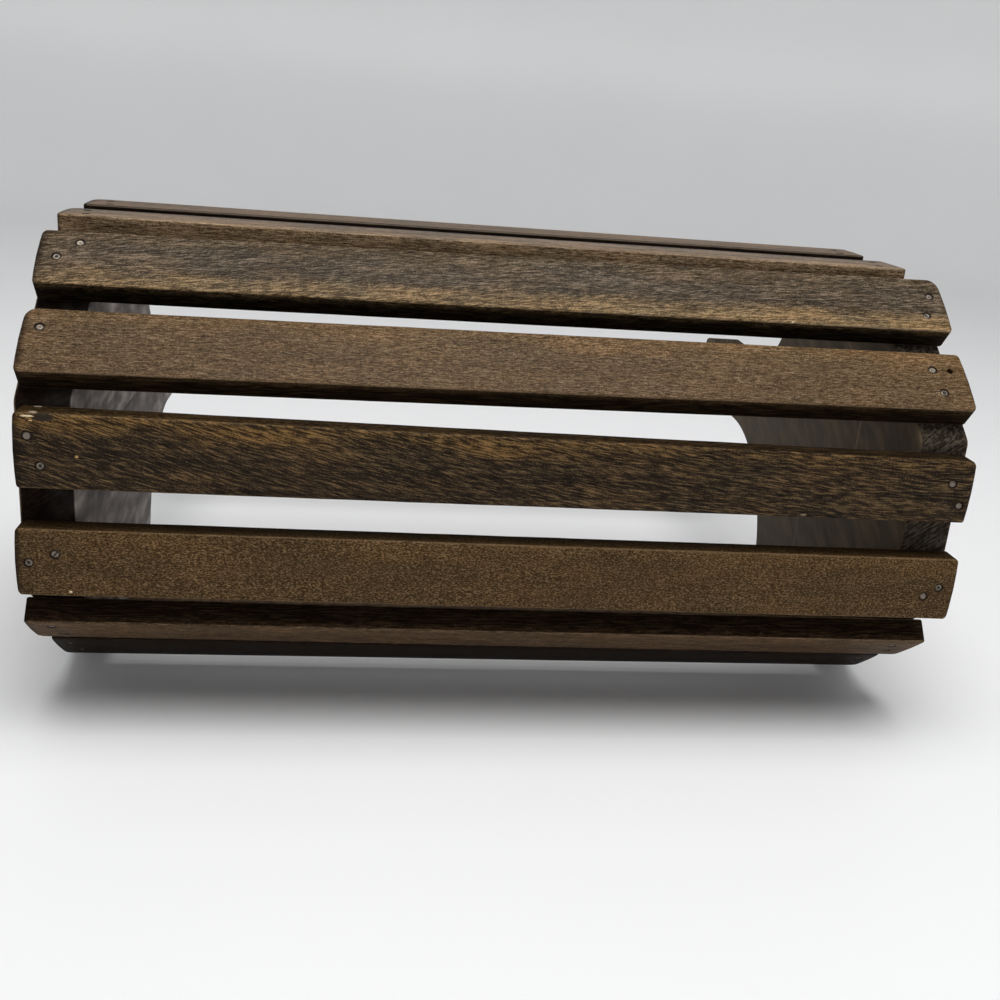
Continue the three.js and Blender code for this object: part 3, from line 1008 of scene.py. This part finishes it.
def nail_shape(nail, steel, seed, head):
    """A nail with a worn head, a shank and a point."""
    dice = random.Random(seed)
    radius = nail.radius * dice.uniform(0.93, 1.0)
    dimple = steel.dimple * dice.uniform(0.7, 1.1)
    depth = steel.dimple_depth * DIMPLES[head]
    profile = [
        (0, -depth),
        (dimple * 0.55, -depth * 0.95),
        (dimple * 0.9, -depth * 0.45),
        (dimple * 1.15, -depth * 0.08),
        (dimple * 1.4, 0),
        (radius * 0.72, -0.01 * MM),
        (radius * 0.9, -0.07 * MM),
        (radius * 0.985, -0.22 * MM),
        (radius, -0.42 * MM),
        (radius * 0.97, -0.85 * MM),
        (radius * 0.85, -NAIL_HEAD_THICKNESS),
        (NAIL_SHANK_RADIUS * 1.15, -NAIL_HEAD_THICKNESS),
        (NAIL_SHANK_RADIUS, -NAIL_HEAD_THICKNESS - 0.3 * MM),
        (NAIL_SHANK_RADIUS, -nail.length + NAIL_POINT),
        (0, -nail.length),
    ]
    shape = turned_shape(profile, steel.sides)
    lean_x, lean_y = dice.uniform(-0.05, 0.05), dice.uniform(-0.05, 0.05)
    grime = shape.verts.layers.float.new("grime")
    for vertex in shape.verts:
        point = vertex.co
        from_axis = math.hypot(point.x, point.y)
        if point.z > -NAIL_HEAD_THICKNESS * 1.01:
            sunk = max(0.0, 1 - from_axis / (dimple * 1.2)) * min(1.0, depth / steel.dimple_depth)
            edge = max(0.0, (from_axis / radius - 0.86) / 0.14)
            if head == "dent":
                sunk = max(0.0, 1 - abs(point.x - point.y) / (radius * 0.35))
                point.z -= sunk * depth * 0.5
            vertex[grime] = min(1.0, 0.2 + sunk * 1.2 + edge * 0.8)
            point.z += min(0.0, lean_x * point.x + lean_y * point.y - 0.03 * MM)
        else:
            vertex[grime] = 0.6
    bmesh.ops.transform(shape, matrix=nail.matrix, verts=shape.verts)
    return shape


class CADDY_OT_slats(bpy.types.Operator):
    """Build the ten slats with their nail holes"""
    bl_idname = "caddy.slats"
    bl_label = "Slats"

    def execute(self, context):
        timber = context.scene.caddy_timber
        for number, node in enumerate(SLAT_NODES, start=1):
            place = slat_place(number)
            shape = slat_shape(node, place, timber, FIGURES[number])
            bmesh.ops.transform(shape, matrix=place.matrix, verts=shape.verts)
            piece = to_object(
                shape, f"stained_slat_{number:02d}", slat_material(number, place),
                slot="slat_wood", replaces=[node],
            )
            holes = bmesh.new()
            for nail in nails_of(number):
                add_shape(holes, nail_hole(nail_at(nail, place.axes)))
            if number == EMPTY_HOLE_SLAT:
                from_end, off_middle = (size * MM for size in EMPTY_HOLE_PLACE)
                radius, depth = (size * MM for size in EMPTY_HOLE_SIZE)
                hole = turned_shape([(0, MM), (radius, MM), (radius * 0.8, -depth), (0, -depth - radius)], 16)
                at = Vector((place.size.x / 2 - from_end, off_middle, place.size.z / 2))
                add_shape(holes, hole, place.matrix @ Matrix.Translation(at))
            smooth(bored(piece, holes), 40)
        return {"FINISHED"}


class CADDY_OT_end_boards(bpy.types.Operator):
    """Build the two end boards with their posts, bores and nail holes"""
    bl_idname = "caddy.end_boards"
    bl_label = "End Boards"

    def execute(self, context):
        timber = context.scene.caddy_timber
        dowel = handle_place()
        for node, sign in zip(BOARD_NODES, (-1, 1)):
            shape = board_shape(node, timber, -sign * timber.post_lean)
            side = node.split("_")[-1]
            piece = to_object(
                shape, f"stained_board_{side}", board_material(f"stained_board_{side}", node),
                slot="board_wood", replaces=[node],
            )
            holes = bmesh.new()
            for number in range(1, len(SLAT_NODES) + 1):
                axes = slat_place(number).axes
                for nail in nails_of(number):
                    if side in nail:
                        add_shape(holes, nail_hole(nail_at(nail, axes)))
            add_shape(holes, nail_hole(nail_at(f"handle_nail_{side}", post_axes())))
            bore = bmesh.new()
            bmesh.ops.create_cone(
                bore, cap_ends=True, segments=DOWEL_SIDES, radius1=dowel.size.z / 2 + BORE_GAP,
                radius2=dowel.size.z / 2 + BORE_GAP, depth=dowel.size.x * 1.1,
            )
            add_shape(holes, bore, dowel.matrix @ Matrix.Rotation(math.pi / 2, 4, "Y"))
            bored(piece, holes)
            smooth(piece, 35)
        return {"FINISHED"}


def post_axes():
    """The directions of the nails in the tops of the posts."""
    return Matrix((RIGHT, TOP.cross(RIGHT), TOP)).transposed()


def handle_place():
    """The dowel's place, from its flat ends."""
    return Place(HANDLE_NODE, RIGHT, UP)


class CADDY_OT_handle(bpy.types.Operator):
    """Build the dowel handle"""
    bl_idname = "caddy.handle"
    bl_label = "Handle"

    def execute(self, context):
        timber = context.scene.caddy_timber
        place = handle_place()
        length, radius = place.size.x, place.size.z / 2
        shape = bmesh.new()
        bmesh.ops.create_cone(
            shape, cap_ends=True, segments=DOWEL_SIDES, radius1=radius, radius2=radius, depth=length,
            matrix=Matrix.Rotation(math.pi / 2, 4, "Y"),
        )
        ends = [edge for edge in shape.edges if abs(edge.verts[0].co.x - edge.verts[1].co.x) < 1e-6]
        bevel(shape, ends, timber.arris, 3)
        for station in range(1, DOWEL_STATIONS):
            slice_at(shape, (length * (station / DOWEL_STATIONS - 0.5), 0, 0), (1, 0, 0))
        for vertex in shape.verts:
            shrink = 1 - wander(vertex.co, 3, timber.unevenness, along=40 * MM) / radius
            vertex.co.y *= shrink
            vertex.co.z *= shrink
        bmesh.ops.transform(shape, matrix=place.matrix, verts=shape.verts)
        piece = to_object(
            shape, "stained_handle", handle_material(timber, place),
            slot="handle_wood", replaces=[HANDLE_NODE],
        )
        holes = bmesh.new()
        for side in ("left", "right"):
            add_shape(holes, nail_hole(nail_at(f"handle_nail_{side}", post_axes())))
        smooth(bored(piece, holes), 35)
        return {"FINISHED"}


class CADDY_OT_nails(bpy.types.Operator):
    """Build the steel nails"""
    bl_idname = "caddy.nails"
    bl_label = "Nails"

    def execute(self, context):
        steel = context.scene.caddy_steel
        material = steel_material(steel)
        driven = [(nail, slat_place(number).axes) for number in FIGURES for nail in nails_of(number)]
        driven += [(f"handle_nail_{side}", post_axes()) for side in ("left", "right")]
        for seed, (node, axes) in enumerate(driven):
            head = HEADS.get(node) or random.Random(seed).choice(sorted(DIMPLES))
            shape = nail_shape(nail_at(node, axes), steel, seed, head)
            piece = to_object(shape, f"steel_{node}", material, slot="nail_steel", replaces=[node])
            smooth(piece, 50)
        return {"FINISHED"}


class CADDY_OT_stage(bpy.types.Operator):
    """Build the pale floor, the soft light and the camera"""
    bl_idname = "caddy.stage"
    bl_label = "Stage"

    def execute(self, context):
        look = context.scene.caddy_stage
        self.add_floor(look)
        self.add_light(look)
        self.add_surroundings(context.scene, look)
        self.add_camera(context.scene)
        context.scene.view_settings.view_transform = "Standard"
        return {"FINISHED"}

    def add_floor(self, look):
        """A round floor whose rim sweeps up into a low wall."""
        radius, sweep = look.floor_radius, FLOOR_SWEEP
        steps = 14
        profile = [(radius * part, 0.0) for part in (0, 0.25, 0.5, 0.75, 1)]
        for step in range(1, steps + 1):
            turn = math.pi / 2 * step / steps
            profile.append((radius + sweep * math.sin(turn), sweep * (1 - math.cos(turn))))
        profile.append((radius + sweep, WALL_HEIGHT))
        shape = turned_shape(profile, FLOOR_SIDES)
        floor = to_object(shape, "pale_floor", stage_material(look.floor_colour[:]))
        floor.data.shade_smooth()

    def add_light(self, look):
        light = bpy.data.lights.new("overhead", "AREA")
        light.shape = "DISK"
        light.size = OVERHEAD_SIZE
        light.energy = look.overhead_power
        holder = bpy.data.objects.new("overhead", light)
        holder.location = OVERHEAD_PLACE
        holder.rotation_euler = OVERHEAD_PLACE.to_track_quat("Z", "Y").to_euler()
        bpy.context.scene.collection.objects.link(holder)

    def add_surroundings(self, scene, look):
        world = bpy.data.worlds.new("pale_surroundings")
        world.use_nodes = True
        background = world.node_tree.nodes["Background"]
        background.inputs["Color"].default_value = SKY_COLOUR
        background.inputs["Strength"].default_value = look.sky_strength
        scene.world = world

    def add_camera(self, scene):
        camera = bpy.data.cameras.new("camera")
        camera.lens = CAMERA_LENS
        camera.sensor_width = CAMERA_SENSOR
        holder = bpy.data.objects.new("camera", camera)
        back = CAMERA_RIGHT.cross(CAMERA_UP)
        turn = Matrix((CAMERA_RIGHT, CAMERA_UP, back)).transposed()
        holder.matrix_world = Matrix.Translation(CAMERA_PLACE) @ turn.to_4x4()
        scene.collection.objects.link(holder)
        scene.camera = holder


class CADDY_PT_panel(bpy.types.Panel):
    """Lists the caddy's operators and sizes"""
    bl_label = "Tool Caddy"
    bl_idname = "CADDY_PT_panel"
    bl_space_type = "VIEW_3D"
    bl_region_type = "UI"
    bl_category = "Caddy"

    def draw(self, context):
        for operator in OPERATORS:
            self.layout.operator(operator.bl_idname)
        for group in ("caddy_timber", "caddy_steel", "caddy_stage"):
            settings = getattr(context.scene, group)
            column = self.layout.column(align=True)
            for name in settings.__annotations__:
                column.prop(settings, name)


OPERATORS = (CADDY_OT_slats, CADDY_OT_end_boards, CADDY_OT_handle, CADDY_OT_nails, CADDY_OT_stage)
GROUPS = {"caddy_timber": CaddyTimber, "caddy_steel": CaddySteel, "caddy_stage": CaddyStage}


def register():
    for item in (*GROUPS.values(), *OPERATORS, CADDY_PT_panel):
        bpy.utils.register_class(item)
    for name, group in GROUPS.items():
        setattr(bpy.types.Scene, name, PointerProperty(type=group))


def unregister():
    for name in GROUPS:
        delattr(bpy.types.Scene, name)
    for item in reversed((*GROUPS.values(), *OPERATORS, CADDY_PT_panel)):
        bpy.utils.unregister_class(item)


def main():
    register()
    bpy.ops.caddy.slats()
    bpy.ops.caddy.end_boards()
    bpy.ops.caddy.handle()
    bpy.ops.caddy.nails()
    bpy.ops.caddy.stage()


if __name__ == "__main__":
    main()
